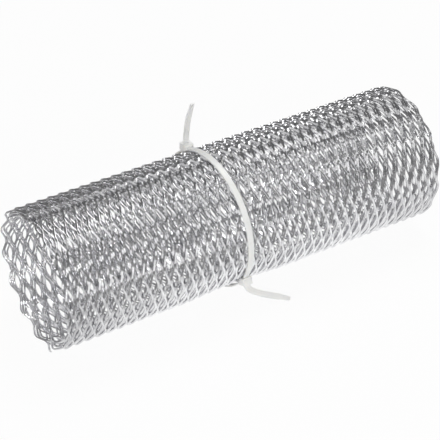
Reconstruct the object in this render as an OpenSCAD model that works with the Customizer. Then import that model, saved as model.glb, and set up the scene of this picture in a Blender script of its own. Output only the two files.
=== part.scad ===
// Roll of raised expanded aluminium mesh, lying on its side, held round its middle
// by two nylon cable ties that are linked head to tail.
// Millimetres, +X along the roll, +Y to the back, +Z up, origin at the middle of the bore.

/* [Mesh roll] */
// Length of the roll, which is the width of the sheet
roll_len = 330; // [200:5:500]
// Outer diameter of the rolled sheet
roll_d = 108; // [95:1:150]
// Length of the sheet that is rolled up
sheet_len = 1000; // [600:10:1400]
// Height of the raised mesh, across its tilted strands
mesh_h = 2.1; // [1.5:0.1:2.6]
// Air between one turn and the next
turn_air = 0.1; // [0.05:0.05:0.4]
// Width of the line between two turns on the ends of the roll
turn_line_w = 0.4; // [0.2:0.1:0.8]
// Depth of that line, about as far as the free loops stand out
turn_line_depth = 3; // [1:0.5:6]

/* [Cable ties] */
// Width of the strap
strap_w = 4.8; // [3.6:0.1:7.6]
// Thickness of the strap
strap_t = 1.3; // [1:0.1:1.8]
// Width of the strap at its tip
tip_w = 3; // [2:0.1:3.5]
// Length of the narrowing tip
tip_len = 12; // [8:1:20]
// Width of the head, along the roll
head_w = 8; // [8:0.2:12]
// Length of the head, along its own strap
head_l = 7.2; // [6:0.2:10]
// Height of the head, along its slot
head_h = 6; // [5:0.2:8]
// Bevel on the head's edges
head_bevel = 0.8; // [0.4:0.1:1.2]
// How far the slot lies from the middle of the head
slot_off = 0.8; // [0:0.1:1]
// Clearance between a strap and the slot that it passes through
slot_gap = 0.2; // [0.1:0.05:0.4]
// Length of each free end beyond its head
tail_len = 40; // [25:1:60]

/* [Tie positions] */
// Place of the ties along the roll, from its middle
tie_x = -15.5; // [-60:0.5:60]
// Skew of the ties about the vertical
tie_skew = 3.2; // [0:0.1:5]
// Clearance between the ties and the roll
tie_gap = 0.15; // [0.1:0.05:0.5]
// Angle, from the back upwards, at which the back strap turns into the upper head
upper_angle = 54.5; // [40:0.5:70]
// Direction in which that strap leaves the upper head, from the back upwards
upper_exit = 93; // [80:1:110]
// Angle, from the back upwards, at which the front strap turns into the lower head
lower_angle = 208; // [195:0.5:220]
// Direction in which that strap leaves the lower head, from the back upwards
lower_exit = 252; // [240:1:262]
// Radius of the turn into a head, at the middle of the strap
bend_r = 4; // [3:0.5:8]
// Radius of the curve of the upper free end
tail_r = 105; // [60:5:200]

/* [Hidden] */

$fn = 96;

// Roll: a spiral of even pitch, its length set by the sheet
roll_r = roll_d / 2;
turn_pitch = mesh_h + turn_air;
outer_turn_r = roll_r - mesh_h / 2;
turns = (outer_turn_r - sqrt(outer_turn_r * outer_turn_r - sheet_len * turn_pitch / PI)) / turn_pitch;
bore_r = roll_r - mesh_h - turns * turn_pitch;

// Straps clear the roll over their whole width, although they lie askew
strap_in_r = (roll_r + tie_gap + strap_w / 2 * sin(tie_skew)) / cos(tie_skew);
strap_mid_r = strap_in_r + strap_t / 2;
head_seat_r = (roll_r + tie_gap + head_w / 2 * sin(tie_skew)) / cos(tie_skew);

// Head: its own strap starts a little past the slot, and the other strap runs through it
head_out = 1.2;
root_past = 1.2;
slot_run = head_out + head_h / 2 + 0.5;

// Lead of a strap: the end that turns into the other head and runs free beyond it. It is
// a little thinner than the strap round the roll, and starts inside it
lead_step = 0.08;
lead_lap = 1;
ring_steps = 6;
bend_steps = 8;
tail_steps = 14;

// Lower free end: it sinks beside the roll, twists and comes to lie just above the ground
lower_steps = 24;
tail_lap = 0.4;
tail_twist = 57;
ground_gap = 0.5;
tail_z = -(strap_in_r + strap_t) + strap_t / 2 + ground_gap;

function dir(a) = [cos(a), sin(a)];
function unit(v) = v / norm(v);

// Where a strap that leaves the ring at angle a, and turns to direction e, stands straight again
function bend_centre(a) = (strap_mid_r + bend_r) * dir(a);
function bend_end(a, e) = bend_centre(a) + bend_r * dir(e + 90);
function slot_end(a, e) = bend_end(a, e) + slot_run * dir(e);

// Angle at which the strap that belongs to that head starts
function root_angle(a, e) =
    let (p = bend_end(a, e))
    atan2(p[1], p[0]) + root_past / strap_mid_r * 180 / PI;

// Middle line of a lead, as x, y and heading: along the ring from angle b to angle a,
// round the bend to direction e, and straight through the slot
function lead_line(b, a, e) = [
    for (i = [0 : ring_steps])
        let (t = b + (a - b) * i / ring_steps)
        [each strap_mid_r * dir(t), t + 90],
    for (i = [1 : bend_steps])
        let (h = a + 90 - (a + 90 - e) * i / bend_steps)
        [each bend_centre(a) + bend_r * dir(h + 90), h],
    [each slot_end(a, e), e]
];
function lead_from(a) = a - lead_lap / strap_mid_r * 180 / PI;

// From the plane of the ties to the frame of the part
function tie_point(p) = [
    tie_x - p[0] * sin(tie_skew),
    p[0] * cos(tie_skew),
    p[1]
];
function tie_dir(p) = tie_point(p) - [tie_x, 0, 0];

module on_tie_plane() {
    translate([tie_x, 0, 0])
        rotate([0, 0, tie_skew])
            rotate([90, 0, 90])
                children();
}

// Strap along a middle line; grow widens it on all sides, to cut a slot
module band(line, grow) {
    half = strap_t / 2 + grow;
    last = len(line) - 1;
    linear_extrude(strap_w + 2 * grow, center = true)
        polygon([
            for (p = line) [p[0], p[1]] + half * dir(p[2] + 90),
            for (i = [0 : last]) let (p = line[last - i]) [p[0], p[1]] - half * dir(p[2] + 90)
        ]);
}

// Strap round the roll, from angle a0 to angle a
module ring(a0, a) {
    rotate([0, 0, a0])
        rotate_extrude(angle = a - a0)
            translate([strap_in_r, -strap_w / 2])
                square([strap_t, strap_w]);
}

// Head that the strap turning at angle a to direction e passes through
module head(a, e) {
    difference() {
        translate(bend_end(a, e))
            rotate([0, 0, e - 90])
                translate([-slot_off, head_out, 0])
                    head_block();
        band(lead_line(a - 20, a, e), slot_gap);
        cylinder(r = head_seat_r, h = 3 * head_w, center = true);
    }
}

// Block with bevelled edges, seen along the roll and across its slot
module head_block() {
    intersection() {
        linear_extrude(head_w, center = true)
            bevelled(head_l, head_h);
        rotate([90, 0, 0])
            linear_extrude(2 * head_h, center = true)
                bevelled(head_l, head_w);
    }
}

module bevelled(w, h) {
    x = w / 2;
    y = h / 2;
    b = head_bevel;
    polygon([
        [x, y - b], [x - b, y], [b - x, y], [-x, y - b],
        [-x, b - y], [b - x, -y], [x - b, -y], [x, b - y]
    ]);
}

// Upper lead: through the head, then a shallow curve that narrows to its tip
module upper_lead() {
    a = upper_angle;
    e = upper_exit;
    sweep = tail_len / tail_r * 180 / PI;
    centre = slot_end(a, e) + tail_r * dir(e + 90);
    tail_line = [
        for (i = [1 : tail_steps])
            let (h = e + sweep * i / tail_steps)
            [each centre + tail_r * dir(h - 90), h]
    ];
    intersection() {
        band(concat(lead_line(lead_from(a), a, e), tail_line), -lead_step);
        translate(slot_end(a, e))
            rotate([0, 0, e - 90])
                rotate([0, 90, 0])
                    linear_extrude(2 * tail_len, center = true)
                        tail_outline();
    }
}

// Outline of the free end, seen square to the strap
module tail_outline() {
    full = strap_w / 2;
    tip = tip_w / 2;
    polygon([
        [full, -tail_len], [full, tail_len - tip_len], [tip, tail_len],
        [-tip, tail_len], [-full, tail_len - tip_len], [-full, -tail_len]
    ]);
}

// Route of the lower free end, a smooth curve drawn by control points. Each is given by its
// drift to the right and to the back, as shares of the free length, and by how far it has sunk
tail_start = tie_point(slot_end(lower_angle, lower_exit) - tail_lap * dir(lower_exit));
tail_drift = [[0.08, -0.075, 0.38], [0.55, -0.13, 0.74], [0.84, -0.235, 1]];
tail_route = [
    tail_start,
    tail_start + 0.1 * tail_len * tie_dir(dir(lower_exit)),
    for (d = tail_drift) [
        tail_start[0] + d[0] * tail_len,
        tail_start[1] + d[1] * tail_len,
        tail_start[2] + d[2] * (tail_z - tail_start[2])
    ]
];
function along(p, t) =
    len(p) == 1 ? p[0]
    : along([for (i = [0 : len(p) - 2]) p[i] * (1 - t) + p[i + 1] * t], t);
function heading(t) = unit(along(tail_route, min(t + 0.01, 1)) - along(tail_route, min(t + 0.01, 1) - 0.01));

// Half width of the free end: full, then narrowing over the tip
function half_width(t) =
    strap_w / 2 - 2 * lead_step - (strap_w - tip_w) / 2 * max(0, (t - 1) * tail_len / tip_len + 1);

// Four corners of the strap's section at t, its width turning from across the roll to level
function section(t) =
    let (
        c = along(tail_route, t),
        d = t == 0 ? tie_dir(dir(lower_exit)) : heading(t),
        turned = tie_skew + tail_twist * t,
        n = unit(cross(d, [cos(turned), sin(turned), 0])),
        w = half_width(t) * cross(n, d),
        h = (strap_t / 2 - 2 * lead_step) * n
    )
    [c - w - h, c + w - h, c + w + h, c - w + h];

module lower_tail() {
    last = 4 * lower_steps;
    points = [for (i = [0 : lower_steps]) each section(i / lower_steps)];
    sides = [
        for (i = [0 : lower_steps - 1], k = [0 : 3])
            let (a = 4 * i + k, b = 4 * i + (k + 1) % 4)
            each [[a, a + 4, b], [b, a + 4, b + 4]]
    ];
    ends = [[0, 1, 2], [0, 2, 3], [last, last + 2, last + 1], [last, last + 3, last + 2]];
    polyhedron(points, concat(sides, ends));
}

module mesh_roll() {
    color("silver")
        rotate([0, 90, 0])
            rotate_extrude($fn = 144)
                difference() {
                    translate([bore_r, -roll_len / 2])
                        square([roll_r - bore_r, roll_len]);
                    for (k = [1 : floor(turns)], end = [-1, 1])
                        translate([roll_r - k * turn_pitch, end * roll_len / 2])
                            square([turn_line_w, 2 * turn_line_depth], center = true);
                }
}

// Its head is the upper one; its strap runs down the front and through the lower head
module cable_tie_front() {
    color("whitesmoke") {
        on_tie_plane() {
            head(upper_angle, upper_exit);
            ring(root_angle(upper_angle, upper_exit), lower_angle);
            band(lead_line(lead_from(lower_angle), lower_angle, lower_exit), -lead_step);
        }
        lower_tail();
    }
}

// Its head is the lower one; its strap runs up the back and through the upper head
module cable_tie_back() {
    color("whitesmoke")
        on_tie_plane() {
            head(lower_angle, lower_exit);
            ring(root_angle(lower_angle, lower_exit), upper_angle);
            upper_lead();
        }
}

mesh_roll();
cable_tie_front();
cable_tie_back();
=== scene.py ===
# Roll of raised aluminium grille mesh, tied round its middle with two linked cable ties.
import bpy
import math
from mathutils import Euler, Matrix, Vector


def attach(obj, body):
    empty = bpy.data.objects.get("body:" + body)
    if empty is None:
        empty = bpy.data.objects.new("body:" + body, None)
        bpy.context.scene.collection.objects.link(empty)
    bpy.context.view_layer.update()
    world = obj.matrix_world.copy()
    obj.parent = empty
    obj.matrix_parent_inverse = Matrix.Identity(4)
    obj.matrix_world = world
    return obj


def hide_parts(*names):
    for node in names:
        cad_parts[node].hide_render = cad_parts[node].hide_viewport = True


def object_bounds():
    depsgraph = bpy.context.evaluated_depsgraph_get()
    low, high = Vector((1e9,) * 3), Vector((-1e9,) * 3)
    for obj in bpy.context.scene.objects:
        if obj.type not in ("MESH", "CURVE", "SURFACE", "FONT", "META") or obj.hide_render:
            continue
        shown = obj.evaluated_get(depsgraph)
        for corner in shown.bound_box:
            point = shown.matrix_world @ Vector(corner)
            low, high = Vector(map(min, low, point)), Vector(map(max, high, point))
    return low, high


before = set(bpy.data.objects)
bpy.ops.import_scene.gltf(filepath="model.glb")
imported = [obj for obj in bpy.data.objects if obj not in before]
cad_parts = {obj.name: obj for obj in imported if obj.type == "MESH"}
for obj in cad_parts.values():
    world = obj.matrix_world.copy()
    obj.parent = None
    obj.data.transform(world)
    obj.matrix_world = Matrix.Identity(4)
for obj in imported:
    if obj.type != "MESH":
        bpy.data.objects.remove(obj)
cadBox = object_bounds()
mm = 0.001
weld = 0.02 * mm  # how near the ends of repeated copies are joined
nearby = 0.01 * mm  # tolerance when picking points by their place
facing = 0.99  # share of a face's normal along an axis, for a face square to it
softAngle = math.radians(35)  # edges up to this are shaded smooth
print("frame loaded:", list(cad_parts))


# Small helpers

def pickOnly(piece):
    bpy.ops.object.select_all(action="DESELECT")
    piece.select_set(True)
    bpy.context.view_layer.objects.active = piece


def copyOf(piece, name):
    pickOnly(piece)
    bpy.ops.object.duplicate()
    bpy.context.object.name = name
    bpy.context.object.data.name = name
    return bpy.context.object


def joinAll(pieces):
    pickOnly(pieces[0])
    for piece in pieces:
        piece.select_set(True)
    bpy.ops.object.join()
    return pieces[0]


def settle(piece):
    # Puts the place and turn into the mesh, so the object itself stays at the origin
    pickOnly(piece)
    bpy.ops.object.transform_apply(location=True, rotation=True, scale=True)


def applyAll(piece):
    pickOnly(piece)
    for modifier in list(piece.modifiers):
        bpy.ops.object.modifier_apply(modifier=modifier.name)


def repeat(piece, count, step, merge=0.0):
    array = piece.modifiers.new("repeat", "ARRAY")
    array.count = count
    array.use_relative_offset = False
    array.use_constant_offset = True
    array.constant_offset_displace = step
    array.use_merge_vertices = merge > 0
    array.merge_threshold = merge
    applyAll(piece)


def layAlong(piece, route):
    # Bends a piece that is straight along X on to a route of points; its Z stays as it was
    data = bpy.data.curves.new("route", "CURVE")
    data.dimensions = "3D"
    data.twist_mode = "Z_UP"
    spline = data.splines.new("POLY")
    spline.points.add(len(route) - 1)
    for point, place in zip(spline.points, route):
        point.co = (*place, 1)
    guide = bpy.data.objects.new("route", data)
    bpy.context.collection.objects.link(guide)
    bend = piece.modifiers.new("lay", "CURVE")
    bend.object = guide
    bend.deform_axis = "POS_X"
    applyAll(piece)
    bpy.data.objects.remove(guide)


def routeLength(route):
    return sum((there - here).length for here, there in zip(route, route[1:]))


def outwards(piece):
    pickOnly(piece)
    bpy.ops.object.mode_set(mode="EDIT")
    bpy.ops.mesh.select_all(action="SELECT")
    bpy.ops.mesh.normals_make_consistent(inside=False)
    bpy.ops.object.mode_set(mode="OBJECT")


def pickFaces(piece, wanted):
    # Leaves edit mode on, with just the faces selected that the test takes
    pickOnly(piece)
    bpy.ops.object.mode_set(mode="EDIT")
    bpy.ops.mesh.select_mode(type="FACE")
    bpy.ops.mesh.select_all(action="DESELECT")
    bpy.ops.object.mode_set(mode="OBJECT")
    for face in piece.data.polygons:
        face.select = bool(wanted(face))
    bpy.ops.object.mode_set(mode="EDIT")


# Camera and room

photoView = {
    "azimuth": -31.88,  # degrees, 0 looks along +Y
    "elevation": 35.3,
    "distance": 1.245,
    "aim": (-6.0 * mm, -0.8 * mm, -5.4 * mm),
    "lens": 132.8,
    "sensor": 36,
}

room = {
    "floorSize": 6.0,
    "floorColour": (0.92, 0.92, 0.92, 1),
    "floorRoughness": 0.8,
    "seenWhite": 0.94,  # share of plain white that the camera sees in the floor
    # The next four values paint a pool of light on the floor, seen only in reflections: white close to
    # the roll, dimmer further out
    "mirroredWhite": 0.97,  # the same in reflections, close to the roll
    "mirroredNear": 0.1,  # distances from the roll's middle, in metres, between which the
    "mirroredFar": 0.35,  # reflected floor darkens
    "farWhite": 0.2,  # its strength from there on
    "sky": [
        # height of the direction (0 level, 1 straight up), brightness
        (0.0, 0.38),
        (0.2, 0.2),
        (0.5, 0.12),
        (1.0, 0.18),
    ],
    "lamps": [
        # name, place, size, watts
        ("topLamp", (0.45, 0.3, 1.5), 1.0, 11.5),
        ("sideLamp", (1.4, -1.0, 0.8), 0.8, 3.5),
        ("frontLamp", (-0.3, -1.6, 0.7), 0.6, 10.5),
        ("leftLamp", (-1.7, -0.35, 0.45), 0.5, 7),
        ("leftSoftbox", (-1.5, -0.9, 0.75), 0.8, 1.8),
        ("backSoftbox", (-0.75, 0.45, 1.1), 0.6, 0.6),
        ("overheadSoftbox", (-0.85, -0.14, 1.13), 0.4, 0.5),
        ("backCard", (0.05, 1.6, 0.1), 0.4, 1.5),
    ],
}


def addCamera():
    azimuth = math.radians(photoView["azimuth"])
    elevation = math.radians(photoView["elevation"])
    back = Vector((
        math.sin(azimuth) * math.cos(elevation),
        -math.cos(azimuth) * math.cos(elevation),
        math.sin(elevation),
    ))
    data = bpy.data.cameras.new("camera")
    data.lens = photoView["lens"]
    data.sensor_width = photoView["sensor"]
    camera = bpy.data.objects.new("camera", data)
    camera.location = Vector(photoView["aim"]) + back * photoView["distance"]
    camera.rotation_euler = back.to_track_quat("Z", "Y").to_euler()
    bpy.context.collection.objects.link(camera)
    bpy.context.scene.camera = camera


def larger(nodes, links, first, second):
    node = nodes.new("ShaderNodeMath")
    node.operation = "MAXIMUM"
    links.new(first, node.inputs[0])
    links.new(second, node.inputs[1])
    return node.outputs[0]


def shareOf(nodes, links, whole, share):
    node = nodes.new("ShaderNodeMath")
    node.operation = "MULTIPLY"
    node.inputs[1].default_value = share
    links.new(whole, node.inputs[0])
    return node.outputs[0]


def paintedLightPool(nodes, links):
    # Painted pool of light on the floor, seen in reflections: emission strength 1 near the roll, less
    # further out
    place = nodes.new("ShaderNodeTexCoord")
    away = nodes.new("ShaderNodeVectorMath")
    away.operation = "LENGTH"
    links.new(place.outputs["Object"], away.inputs[0])
    spread = nodes.new("ShaderNodeMapRange")
    spread.inputs["From Min"].default_value = room["mirroredNear"]
    spread.inputs["From Max"].default_value = room["mirroredFar"]
    spread.inputs["To Min"].default_value = 1
    spread.inputs["To Max"].default_value = room["farWhite"]
    links.new(away.outputs["Value"], spread.inputs["Value"])
    return spread.outputs[0]


def addFloor():
    bpy.ops.mesh.primitive_plane_add(size=room["floorSize"], location=(0, 0, cadBox[0][2]))
    floor = bpy.context.object
    floor.name = "floor"
    material = bpy.data.materials.new("paleFloor")
    material.use_nodes = True
    nodes, links = material.node_tree.nodes, material.node_tree.links
    paint = nodes["Principled BSDF"]
    paint.inputs["Base Color"].default_value = room["floorColour"]
    paint.inputs["Roughness"].default_value = room["floorRoughness"]
    rays = nodes.new("ShaderNodeLightPath")
    direct = larger(nodes, links, rays.outputs["Is Camera Ray"], rays.outputs["Is Transmission Ray"])
    direct = shareOf(nodes, links, direct, room["seenWhite"])
    mirrored = shareOf(nodes, links, rays.outputs["Is Glossy Ray"], room["mirroredWhite"])
    white = nodes.new("ShaderNodeEmission")
    # Camera rays see the floor evenly white; other rays see the painted pool of light, bright near the
    # roll
    seen = larger(nodes, links, rays.outputs["Is Camera Ray"], paintedLightPool(nodes, links))
    links.new(seen, white.inputs["Strength"])
    mix = nodes.new("ShaderNodeMixShader")
    links.new(larger(nodes, links, direct, mirrored), mix.inputs[0])
    links.new(paint.outputs[0], mix.inputs[1])
    links.new(white.outputs[0], mix.inputs[2])
    links.new(mix.outputs[0], nodes["Material Output"].inputs["Surface"])
    floor.data.materials.append(material)


def addLight():
    world = bpy.data.worlds.new("studio")
    bpy.context.scene.world = world
    world.use_nodes = True
    nodes, links = world.node_tree.nodes, world.node_tree.links
    direction = nodes.new("ShaderNodeTexCoord")
    split = nodes.new("ShaderNodeSeparateXYZ")
    links.new(direction.outputs["Generated"], split.inputs[0])
    ramp = nodes.new("ShaderNodeValToRGB")
    links.new(split.outputs["Z"], ramp.inputs[0])
    bands = ramp.color_ramp.elements
    while len(bands) < len(room["sky"]):
        bands.new(1.0)
    for band, (height, grey) in zip(bands, room["sky"]):
        band.position = height
        band.color = (grey, grey, grey, 1)
    links.new(ramp.outputs["Color"], nodes["Background"].inputs["Color"])
    for name, place, size, watts in room["lamps"]:
        lamp = bpy.data.lights.new(name, "AREA")
        lamp.size = size
        lamp.energy = watts
        holder = bpy.data.objects.new(name, lamp)
        holder.location = place
        holder.rotation_euler = Vector(place).to_track_quat("Z", "Y").to_euler()
        bpy.context.collection.objects.link(holder)


addCamera()
addFloor()
addLight()
bpy.context.scene.view_settings.view_transform = "Standard"
print("camera, floor and light placed")


# The rolled mesh. It is made as a flat sheet: X runs round the roll, Y is its thickness
# and Z runs along the roll.

sheet = {
    "outside": 54.0 * mm,  # radius of the roll
    "length": 330.0 * mm,
    "cellLong": 23.65 * mm,  # round the roll
    "cellShort": 8.8 * mm,  # along the roll
    "strandWidth": 1.6 * mm,
    "strandThick": 1.0 * mm,
    "strandEdge": 0.15 * mm,
    "cutSnap": 0.001 * mm,
    "tilt": 38,  # degrees, how far the strands stand out of the sheet
    "pressed": 0.9,  # share of its height left, where the high points are pressed flat
    "bond": 2.8 * mm,  # straight length where two strands join
    "corner": 1.2 * mm,  # length of the softer bend next to it
    "cornerHeight": 0.83,  # how far across the strand still is at that bend's end
    "strands": 75,
    "pieces": [
        # name, number of waves, share by which the cells are drawn out round the roll
        ("meshTurn1", 14, 0.984),
        ("meshTurn2", 13, 1.022),
        ("meshTurn3", 15, 1.0),
    ],
    "pitch": 2.2 * mm,  # from one turn to the next one in
    "slip": 0.8 * mm,  # from each turn to the next one in, along the roll
    "cone": 0.03,  # share by which the turns are drawn out more at the right end
    "freeEdge": -111.2,  # degrees from +Y towards +Z, where the outer edge lies
    "stepIn": 28,  # degrees before the outer edge in which the sheet passes under it
    "routeStep": 2.0,  # degrees
    "bulgeBefore": 60,  # degrees before and after the outer edge in which the turns bulge
    "bulgeAfter": 55,  # by up to one pitch
    "flare": 1.0 * mm,  # how far the outer edge itself springs away from the bulge
    "flareArc": 25,  # degrees
    "heldWidth": 9 * mm,  # no spring this near the ties
    "springWidth": 35 * mm,
}


def strandSteps():
    # One wave of a strand as (along, across) points, across from -1 to 1
    quarter = sheet["cellLong"] / 4
    flat = sheet["bond"] / 2
    turn = flat + sheet["corner"]
    bend = sheet["cornerHeight"]
    rise = [(flat, -1.0), (turn, -bend), (quarter, 0.0)]
    rise += [(2 * quarter - turn, bend), (2 * quarter - flat, 1.0)]
    fall = [(2 * quarter + along, -across) for along, across in rise]
    return rise + fall + [(4 * quarter + flat, -1.0)]


def sheetHeight():
    tilt = math.radians(sheet["tilt"])
    full = 2 * sheet["strandWidth"] * math.sin(tilt) + sheet["strandThick"] * math.cos(tilt)
    return full * sheet["pressed"]


def makeStrandWave():
    tilt = math.radians(sheet["tilt"])
    width = sheet["strandWidth"]
    reach = sheet["cellShort"] / 4 - width / 2 * math.cos(tilt)
    rise = width / 2 * math.sin(tilt)
    stops = [Vector((along, rise * across, reach * across)) for along, across in strandSteps()]
    bpy.ops.mesh.primitive_plane_add(size=1, rotation=(0, math.pi / 2, 0))
    strand = bpy.context.object
    settle(strand)
    strand.scale = (1, sheet["strandThick"], width)
    settle(strand)
    strand.rotation_euler = (tilt, 0, 0)
    strand.location = stops[0]
    settle(strand)
    bpy.ops.object.mode_set(mode="EDIT")
    bpy.ops.mesh.select_all(action="SELECT")
    bpy.ops.mesh.bevel(offset=sheet["strandEdge"], affect="VERTICES")
    for here, there in zip(stops, stops[1:]):
        bpy.ops.mesh.extrude_region_move(TRANSFORM_OT_translate={"value": there - here})
    bpy.ops.object.mode_set(mode="OBJECT")
    pickFaces(strand, lambda face: abs(face.normal.x) > facing)
    bpy.ops.mesh.delete(type="ONLY_FACE")
    bpy.ops.object.mode_set(mode="OBJECT")
    outwards(strand)
    for corner in strand.data.vertices:
        corner.co.y = math.copysign(min(abs(corner.co.y), sheetHeight() / 2), corner.co.y)
    return strand


def makeRow(wave, name, waves, start):
    # One strand of the sheet, whose waves begin at start and whose ends are cut straight
    row = copyOf(wave, name)
    row.location.x = start - sheet["cellLong"]
    settle(row)
    repeat(row, waves + 2, (sheet["cellLong"], 0, 0), merge=weld)
    cutSheet(row, 0, keepAfter=True)
    cutSheet(row, waves * sheet["cellLong"], keepAfter=False)
    return row


def cutSheet(piece, place, keepAfter):
    # Cuts straight across the sheet and closes the cut strands
    pickOnly(piece)
    bpy.ops.object.mode_set(mode="EDIT")
    bpy.ops.mesh.select_all(action="SELECT")
    bpy.ops.mesh.bisect(plane_co=(place, 0, 0), plane_no=(1, 0, 0), use_fill=True,
                        clear_inner=keepAfter, clear_outer=not keepAfter, threshold=sheet["cutSnap"])
    bpy.ops.object.mode_set(mode="OBJECT")


def rollRoute(length):
    # The sheet's middle line as points across the roll, from the outer edge inwards
    height = sheetHeight()
    outerMiddle = sheet["outside"] - height / 2
    route = []
    angle = 0.0
    while not route or routeLength(route) < length:
        turn, inTurn = divmod(angle, 360)
        stepped = smooth((inTurn - 360) / sheet["stepIn"] + 1)
        radius = outerMiddle - sheet["pitch"] * (turn + stepped)
        around = math.radians(sheet["freeEdge"] + angle)
        slip = sheet["slip"] * angle / 360
        route.append(Vector((radius * math.cos(around), radius * math.sin(around), slip)))
        angle += sheet["routeStep"]
    print("sheet %.2f mm high, %.0f mm long, %.2f turns" % (height / mm, length / mm, angle / 360))
    return route


def smooth(share):
    share = min(1, max(0, share))
    return share * share * (3 - 2 * share)


def springOpen(piece, isOuter):
    # Away from the ties the turns bulge over the outer edge, and the edge itself stands off
    for corner in piece.data.vertices:
        along, across, up = corner.co
        past = (math.degrees(math.atan2(up, across)) - sheet["freeEdge"]) % 360
        bulge = smooth(1 - min(past / sheet["bulgeAfter"], (360 - past) / sheet["bulgeBefore"]))
        push = sheet["pitch"] * bulge
        if isOuter:
            push += sheet["flare"] * max(0, 1 - past / sheet["flareArc"]) ** 2
        free = smooth((abs(along - tie["place"]) - sheet["heldWidth"]) / sheet["springWidth"])
        push = 1 + push * free / math.hypot(across, up)
        corner.co = (along, across * push, up * push)


def makeRoll():
    wave = makeStrandWave()
    half = sheet["cellShort"] / 2
    total = sheet["cellLong"] * sum(waves * drawn for name, waves, drawn in sheet["pieces"])
    route = rollRoute(total * (1 + sheet["cone"]))
    start = 0.0
    pieces = []
    for name, waves, drawn in sheet["pieces"]:
        piece = makeRow(wave, name, waves, 0)
        lastRow = copyOf(piece, "lastRow")
        lastRow.location.z = (sheet["strands"] - 1) * half
        neighbour = makeRow(wave, "neighbour", waves, -sheet["cellLong"] / 2)
        neighbour.location.z = half
        settle(neighbour)
        joinAll([piece, neighbour])
        repeat(piece, sheet["strands"] // 2, (0, 0, sheet["cellShort"]))
        joinAll([piece, lastRow])
        piece.scale.x = drawn
        piece.location.x = start
        settle(piece)
        start += waves * drawn * sheet["cellLong"]
        for corner in piece.data.vertices:
            corner.co.x *= 1 + sheet["cone"] * corner.co.z / sheet["length"]
        layAlong(piece, route)
        piece.rotation_euler = (math.pi / 2, 0, math.pi / 2)
        piece.location.x = sheet["cellShort"] / 4 - sheet["length"] / 2
        settle(piece)
        outwards(piece)
        bpy.ops.object.shade_smooth_by_angle(angle=softAngle)
        pieces.append(piece)
        print(piece.name, "has", len(piece.data.polygons), "faces")
    for number, piece in enumerate(pieces):
        springOpen(piece, isOuter=number == 0)
    bpy.data.objects.remove(wave)
    return pieces


# The two cable ties. Each is made straight along X, with its teeth on the +Y side, and is then
# laid along its route in the plane that the ties share.

tie = {
    "place": -15.5 * mm,  # where the ties' plane crosses the roll's axis
    "skew": 3.2,  # degrees
    "gap": 0.15 * mm,
    "width": 4.8 * mm,
    "thick": 1.3 * mm,
    "strapEdge": 0.18 * mm,
    "toothPitch": 1.27 * mm,
    "toothRamp": 0.95 * mm,
    "toothHigh": 0.1 * mm,  # depth of the channel at a tooth's top
    "toothLow": 0.34 * mm,
    "railInside": 1.35 * mm,
    "railOutside": 1.55 * mm,
    "tipWidth": 3.0 * mm,
    "tipLength": 12 * mm,
    "tailLength": 40 * mm,
    "tailRadius": 105 * mm,
    "bendRadius": 4 * mm,
    "bendSteps": 10,
    "headLength": 7.2 * mm,
    "headHeight": 6.0 * mm,
    "headWidth": 8.0 * mm,
    "headOut": 1.2 * mm,
    "headBevel": 0.8 * mm,
    "headBevelSteps": 3,
    "headBevelAngle": 50,  # degrees, edges sharper than this
    "seatSides": 360,  # of the round seat by which the head lies on the roll
    "slotOff": 0.8 * mm,
    "slotGap": 0.2 * mm,
    "slotRim": (1.2 * mm, 0.6 * mm),  # insets from the head's edges to the slot
    "slotRun": 0.5 * mm,  # straight run of the strap past the head
    "rootPast": 1.2 * mm,
    "upper": (54.5, 93),  # degrees: where the strap leaves the roll, its heading in the head
    "lower": (208, 252),
    "upperSteps": 20,
    "lowerSteps": 24,
    "tailStart": 0.1,  # share of the tail that leads straight on from the head
    "tailDrift": [(0.08, -0.075, 0.38), (0.55, -0.13, 0.74), (0.84, -0.235, 1)],
    "tailHeight": -54.32 * mm,  # of the lower tail's end, close above the floor
}
tie["middle"] = (
    (sheet["outside"] + tie["gap"] + tie["width"] / 2 * math.sin(math.radians(tie["skew"])))
    / math.cos(math.radians(tie["skew"])) + tie["thick"] / 2
)


def tieFrame():
    turned = Matrix.Rotation(math.radians(tie["skew"]), 4, "Z")
    upright = Euler((math.pi / 2, 0, math.pi / 2)).to_matrix().to_4x4()
    return Matrix.Translation((tie["place"], 0, 0)) @ turned @ upright


def heading(angle):
    return Vector((math.cos(math.radians(angle)), math.sin(math.radians(angle)), 0))


def bendPoint(way, angle):
    # A point of the bend by which the strap leaves the roll, where it heads at the angle
    centre = (tie["middle"] + tie["bendRadius"]) * heading(way[0])
    return centre + tie["bendRadius"] * heading(angle + 90)


def rootAngle(way):
    end = bendPoint(way, way[1])
    past = math.degrees(tie["rootPast"] / tie["middle"])
    return math.degrees(math.atan2(end.y, end.x)) + past


def strapRoute(fromHead, throughHead):
    start = rootAngle(fromHead)
    leaves, passes = throughHead
    start -= 360 * (start > leaves)
    steps = round(leaves - start)
    route = [tie["middle"] * heading(start + (leaves - start) * step / steps) for step in range(steps)]
    bends = tie["bendSteps"]
    for step in range(bends + 1):
        route.append(bendPoint(throughHead, leaves + 90 + (passes - leaves - 90) * step / bends))
    slotRun = tie["headOut"] + tie["headHeight"] / 2 + tie["slotRun"]
    route.append(bendPoint(throughHead, passes) + slotRun * heading(passes))
    return route


def upperTail(start, passes):
    steps = tie["upperSteps"]
    step = tie["tailLength"] / steps
    turn = math.degrees(step / tie["tailRadius"])
    tail = [start]
    for number in range(steps):
        tail.append(tail[-1] + step * heading(passes + turn * (number + 0.5)))
    return tail[1:]


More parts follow.
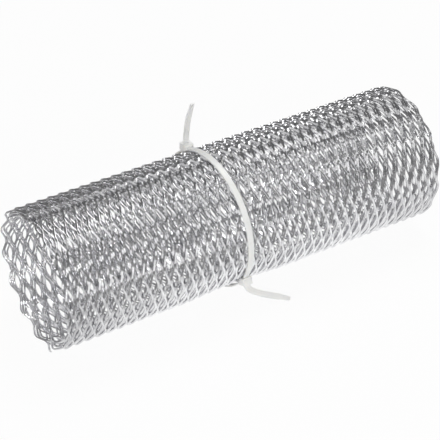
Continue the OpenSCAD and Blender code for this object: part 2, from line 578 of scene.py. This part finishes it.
def lowerTail(start, passes):
    # A smooth curve pulled by five points, three of them given in shares of the tail's length
    # and of the drop to its end
    toWorld = tieFrame()
    first = toWorld @ start
    leaves = toWorld.to_3x3() @ heading(passes)
    pulls = [first, first + tie["tailStart"] * tie["tailLength"] * leaves]
    for along, across, down in tie["tailDrift"]:
        pulls.append(Vector((
            first.x + along * tie["tailLength"],
            first.y + across * tie["tailLength"],
            first.z + down * (tie["tailHeight"] - first.z),
        )))
    steps = tie["lowerSteps"]
    tail = []
    for number in range(1, steps + 1):
        share = number / steps
        line = pulls
        while len(line) > 1:
            line = [here.lerp(there, share) for here, there in zip(line, line[1:])]
        tail.append(toWorld.inverted() @ line[0])
    return tail


def makeTooth():
    bpy.ops.mesh.primitive_plane_add(size=1, rotation=(0, math.pi / 2, 0))
    tooth = bpy.context.object
    settle(tooth)
    tooth.scale = (1, tie["thick"], tie["width"])
    settle(tooth)
    bpy.ops.object.mode_set(mode="EDIT")
    bpy.ops.mesh.select_all(action="SELECT")
    bpy.ops.mesh.bevel(offset=tie["strapEdge"], affect="VERTICES")
    for across in (tie["railOutside"], tie["railInside"]):
        for side in (1, -1):
            bpy.ops.mesh.select_all(action="SELECT")
            bpy.ops.mesh.bisect(plane_co=(0, 0, side * across), plane_no=(0, 0, 1))
    bpy.ops.mesh.select_all(action="SELECT")
    for step in (tie["toothRamp"], tie["toothPitch"] - tie["toothRamp"]):
        bpy.ops.mesh.extrude_region_move(TRANSFORM_OT_translate={"value": (step, 0, 0)})
    bpy.ops.object.mode_set(mode="OBJECT")
    for corner in tooth.data.vertices:
        if corner.co.y > 0 and abs(corner.co.z) < tie["railInside"] + nearby:
            onTop = abs(corner.co.x - tie["toothRamp"]) < nearby
            corner.co.y -= tie["toothHigh"] if onTop else tie["toothLow"]
    pickFaces(tooth, lambda face: abs(face.normal.x) > facing)
    bpy.ops.mesh.delete(type="ONLY_FACE")
    bpy.ops.object.mode_set(mode="OBJECT")
    return tooth


def makeStrap(name, route):
    length = routeLength(route)
    count = round(length / tie["toothPitch"])
    strap = makeTooth()
    strap.name = name
    repeat(strap, count, (tie["toothPitch"], 0, 0), merge=weld)
    pickOnly(strap)
    bpy.ops.object.mode_set(mode="EDIT")
    bpy.ops.mesh.select_all(action="SELECT")
    bpy.ops.mesh.fill_holes(sides=0)
    bpy.ops.object.mode_set(mode="OBJECT")
    strap.scale.x = length / (count * tie["toothPitch"])
    settle(strap)
    for corner in strap.data.vertices:
        near = max(0, 1 - (length - corner.co.x) / tie["tipLength"])
        corner.co.z *= 1 - near * (1 - tie["tipWidth"] / tie["width"])
    outwards(strap)
    markLengthwise(strap)
    layAlong(strap, route)
    return strap


def markLengthwise(strap):
    # A map whose U runs along the strap and V across it, in metres, for the grain
    grain = strap.data.uv_layers.new(name="grain")
    for loop in strap.data.loops:
        place = strap.data.vertices[loop.vertex_index].co
        grain.data[loop.index].uv = (place.x, place.z)


def makeHead(way):
    passes = way[1]
    bpy.ops.mesh.primitive_cube_add(size=1)
    head = bpy.context.object
    head.scale = (tie["headLength"], tie["headHeight"], tie["headWidth"])
    settle(head)
    # The slot: both faces inset to its mouth, then joined through the block
    slotLong = tie["thick"] + 2 * tie["slotGap"]
    slotWide = tie["width"] + 2 * tie["slotGap"]
    pickFaces(head, lambda face: abs(face.normal.y) > facing)
    for rim in tie["slotRim"]:
        bpy.ops.mesh.inset(thickness=rim)
    bpy.ops.object.mode_set(mode="OBJECT")
    mouth = {index for face in head.data.polygons if face.select for index in face.vertices}
    for index in mouth:
        corner = head.data.vertices[index].co
        corner.x = tie["slotOff"] + math.copysign(slotLong / 2, corner.x)
        corner.z = math.copysign(slotWide / 2, corner.z)
    bpy.ops.object.mode_set(mode="EDIT")
    bpy.ops.mesh.delete(type="ONLY_FACE")
    bpy.ops.mesh.select_all(action="DESELECT")
    bpy.ops.object.mode_set(mode="OBJECT")
    bpy.ops.object.mode_set(mode="EDIT")
    bpy.ops.mesh.select_mode(type="EDGE")
    bpy.ops.object.mode_set(mode="OBJECT")
    for edge in head.data.edges:
        edge.select = set(edge.vertices) <= mouth
    bpy.ops.object.mode_set(mode="EDIT")
    bpy.ops.mesh.bridge_edge_loops()
    bpy.ops.object.mode_set(mode="OBJECT")
    outwards(head)
    rounding = head.modifiers.new("rounding", "BEVEL")
    rounding.width = tie["headBevel"]
    rounding.segments = tie["headBevelSteps"]
    rounding.limit_method = "ANGLE"
    rounding.angle_limit = math.radians(tie["headBevelAngle"])
    applyAll(head)
    # Turned so that its +Y looks the way the strap passes
    head.rotation_euler = (0, 0, math.radians(passes - 90))
    head.location = bendPoint(way, passes) + tie["headOut"] * heading(passes)
    head.location -= tie["slotOff"] * heading(passes - 90)
    settle(head)
    fitToRoll(head)
    return head


def fitToRoll(head):
    # Cuts away the corner of the head that would reach into the roll
    skew = math.radians(tie["skew"])
    seat = (sheet["outside"] + tie["gap"] + tie["headWidth"] / 2 * math.sin(skew)) / math.cos(skew)
    bpy.ops.mesh.primitive_cylinder_add(vertices=tie["seatSides"], radius=seat,
                                        depth=3 * tie["headWidth"])
    roller = bpy.context.object
    cut = head.modifiers.new("cut", "BOOLEAN")
    cut.operation = "DIFFERENCE"
    cut.solver = "EXACT"
    cut.object = roller
    applyAll(head)
    bpy.data.objects.remove(roller)


def makeTie(name, fromHead, throughHead, tail):
    route = strapRoute(fromHead, throughHead)
    route += tail(route[-1], throughHead[1])
    strap = makeStrap(name, route)
    head = makeHead(fromHead)
    piece = joinAll([strap, head])
    piece.name = name
    piece.data.name = name
    piece.matrix_world = tieFrame()
    settle(piece)
    bpy.ops.object.shade_smooth_by_angle(angle=softAngle)
    print(name, "is %.0f mm long" % (routeLength(route) / mm))
    return piece


# Finishes

def newMaterial(name):
    material = bpy.data.materials.new(name)
    material.use_nodes = True
    return material, material.node_tree.nodes, material.node_tree.links


noiseSpan = (0.3, 0.7)  # the part of the noise that is spread out


def patchy(nodes, links, place, texture, low=0, high=1):
    # Noise over the surface, spread between a low and a high value
    scale, detail = texture
    noise = nodes.new("ShaderNodeTexNoise")
    noise.inputs["Scale"].default_value = scale
    noise.inputs["Detail"].default_value = detail
    links.new(place, noise.inputs["Vector"])
    spread = nodes.new("ShaderNodeMapRange")
    spread.inputs["From Min"].default_value = noiseSpan[0]
    spread.inputs["From Max"].default_value = noiseSpan[1]
    spread.inputs["To Min"].default_value = low
    spread.inputs["To Max"].default_value = high
    links.new(noise.outputs[0], spread.inputs["Value"])
    return spread.outputs[0]


def twoTone(nodes, links, share, first, second):
    # The Mix node keeps its sockets for colours at 6, 7 and 2
    mix = nodes.new("ShaderNodeMix")
    mix.data_type = "RGBA"
    links.new(share, mix.inputs[0])
    mix.inputs[6].default_value = first
    mix.inputs[7].default_value = second
    return mix.outputs[2]


def raised(nodes, links, height, depth, under=None):
    bump = nodes.new("ShaderNodeBump")
    bump.inputs["Distance"].default_value = depth
    links.new(height, bump.inputs["Height"])
    if under:
        links.new(under, bump.inputs["Normal"])
    return bump.outputs[0]


aluminiumFinish = {
    "clean": (0.96, 0.96, 0.97, 1),
    "dull": (0.70, 0.70, 0.72, 1),
    "tone": (140, 3),  # each noise is given as features a metre, detail
    "handling": (220, 4),
    "roughness": (0.12, 0.22),
    "dents": (420, 1),
    "dentDepth": 0.05 * mm,
    "millGrain": (2600, 2),
    "grainDepth": 0.003 * mm,
}


def brightAluminium():
    look = aluminiumFinish
    material, nodes, links = newMaterial("brightAluminium")
    shader = nodes["Principled BSDF"]
    shader.inputs["Metallic"].default_value = 1
    place = nodes.new("ShaderNodeTexCoord").outputs["Object"]
    tone = patchy(nodes, links, place, look["tone"])
    links.new(twoTone(nodes, links, tone, look["clean"], look["dull"]), shader.inputs["Base Color"])
    handling = patchy(nodes, links, place, look["handling"], *look["roughness"])
    links.new(handling, shader.inputs["Roughness"])
    dents = raised(nodes, links, patchy(nodes, links, place, look["dents"]), look["dentDepth"])
    grain = patchy(nodes, links, place, look["millGrain"])
    links.new(raised(nodes, links, grain, look["grainDepth"], dents), shader.inputs["Normal"])
    return material


nylonFinish = {
    "pale": (0.93, 0.93, 0.915, 1),
    "milky": (0.86, 0.86, 0.84, 1),
    "streakStretch": (45, 1500, 1),  # features a metre along the strap, across it
    "streaks": (1, 2),  # the noise on that stretched map
    "roughness": (0.26, 0.4),
    "mottle": (350, 3),
    "streakDepth": 0.012 * mm,
    "mouldGrain": (1800, 2),
    "mouldDepth": 0.008 * mm,
    "glow": 0.35,
    "glowDepth": 1.2 * mm,
    "glowTint": (1, 0.95, 0.85),
    "ior": 1.53,
}


def naturalNylon():
    look = nylonFinish
    material, nodes, links = newMaterial("naturalNylon")
    shader = nodes["Principled BSDF"]
    shader.inputs["Subsurface Weight"].default_value = look["glow"]
    shader.inputs["Subsurface Scale"].default_value = look["glowDepth"]
    shader.inputs["Subsurface Radius"].default_value = look["glowTint"]
    shader.inputs["IOR"].default_value = look["ior"]
    place = nodes.new("ShaderNodeTexCoord").outputs["Object"]
    lengthwise = nodes.new("ShaderNodeUVMap")
    lengthwise.uv_map = "grain"
    stretch = nodes.new("ShaderNodeMapping")
    stretch.inputs["Scale"].default_value = look["streakStretch"]
    links.new(lengthwise.outputs[0], stretch.inputs["Vector"])
    streaks = patchy(nodes, links, stretch.outputs[0], look["streaks"])
    links.new(twoTone(nodes, links, streaks, look["pale"], look["milky"]), shader.inputs["Base Color"])
    mottle = patchy(nodes, links, place, look["mottle"], *look["roughness"])
    links.new(mottle, shader.inputs["Roughness"])
    lines = raised(nodes, links, streaks, look["streakDepth"])
    skin = patchy(nodes, links, place, look["mouldGrain"])
    links.new(raised(nodes, links, skin, look["mouldDepth"], lines), shader.inputs["Normal"])
    return material


def finish(piece, material, node):
    piece.data.materials.clear()
    piece.data.materials.append(material)
    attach(piece, "root")
    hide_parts(node)


turns = makeRoll()
aluminium = brightAluminium()
for piece in turns:
    finish(piece, aluminium, "mesh_roll")
print("mesh rolled")

nylon = naturalNylon()
tieFront = makeTie("tieFront", tie["upper"], tie["lower"], lowerTail)
finish(tieFront, nylon, "cable_tie_front")
tieBack = makeTie("tieBack", tie["lower"], tie["upper"], upperTail)
finish(tieBack, nylon, "cable_tie_back")
print("ties closed")
